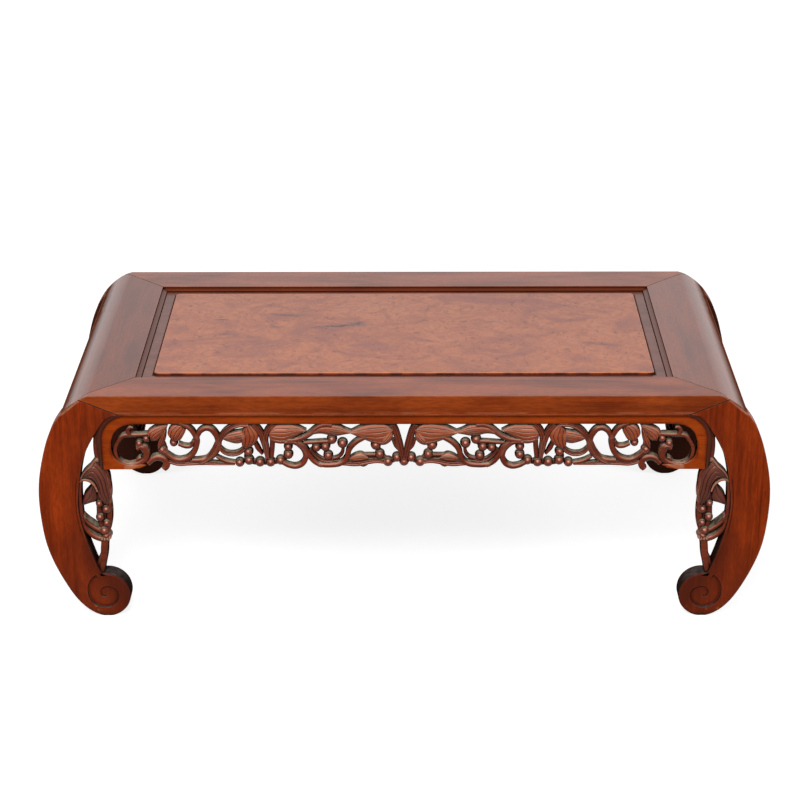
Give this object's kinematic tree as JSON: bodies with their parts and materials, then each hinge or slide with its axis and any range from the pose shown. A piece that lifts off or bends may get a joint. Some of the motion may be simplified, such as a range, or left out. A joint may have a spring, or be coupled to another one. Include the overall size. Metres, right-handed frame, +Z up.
{
  "type": "kang table",
  "caption": "Low hardwood kang table with a mitred frame, a raised burl slab, C-shaped scroll-foot legs and openwork grapevine aprons and brackets.",
  "frame": {"origin": "on the floor, under the middle of the table", "axes": "+X to the table's right along its length, the front faces -Y, +Z up"},
  "size_m": [0.94, 0.48, 0.312],
  "materials": {
    "frame_wood": "waxed",
    "leg_wood": "waxed",
    "carved_wood": "waxed, dusty in the hollows",
    "board_wood": "waxed",
    "burl_wood": "waxed",
    "peg_wood": "bare"
  },
  "bodies": {
    "root": {"front_rail": "frame_wood", "back_rail": "frame_wood", "left_end_rail": "frame_wood", "right_end_rail": "frame_wood", "panel_board": "board_wood", "burl_panel": "burl_wood", "left_batten": "board_wood", "middle_batten": "board_wood", "right_batten": "board_wood", "front_left_leg": "leg_wood", "front_right_leg": "leg_wood", "back_left_leg": "leg_wood", "back_right_leg": "leg_wood", "front_left_bracket": "carved_wood", "front_right_bracket": "carved_wood", "back_left_bracket": "carved_wood", "back_right_bracket": "carved_wood", "front_apron": "carved_wood", "back_apron": "carved_wood", "left_end_apron": "carved_wood", "right_end_apron": "carved_wood", "frame_pegs": "peg_wood", "bracket_dowels": "peg_wood"}
  },
  "joints": []
}
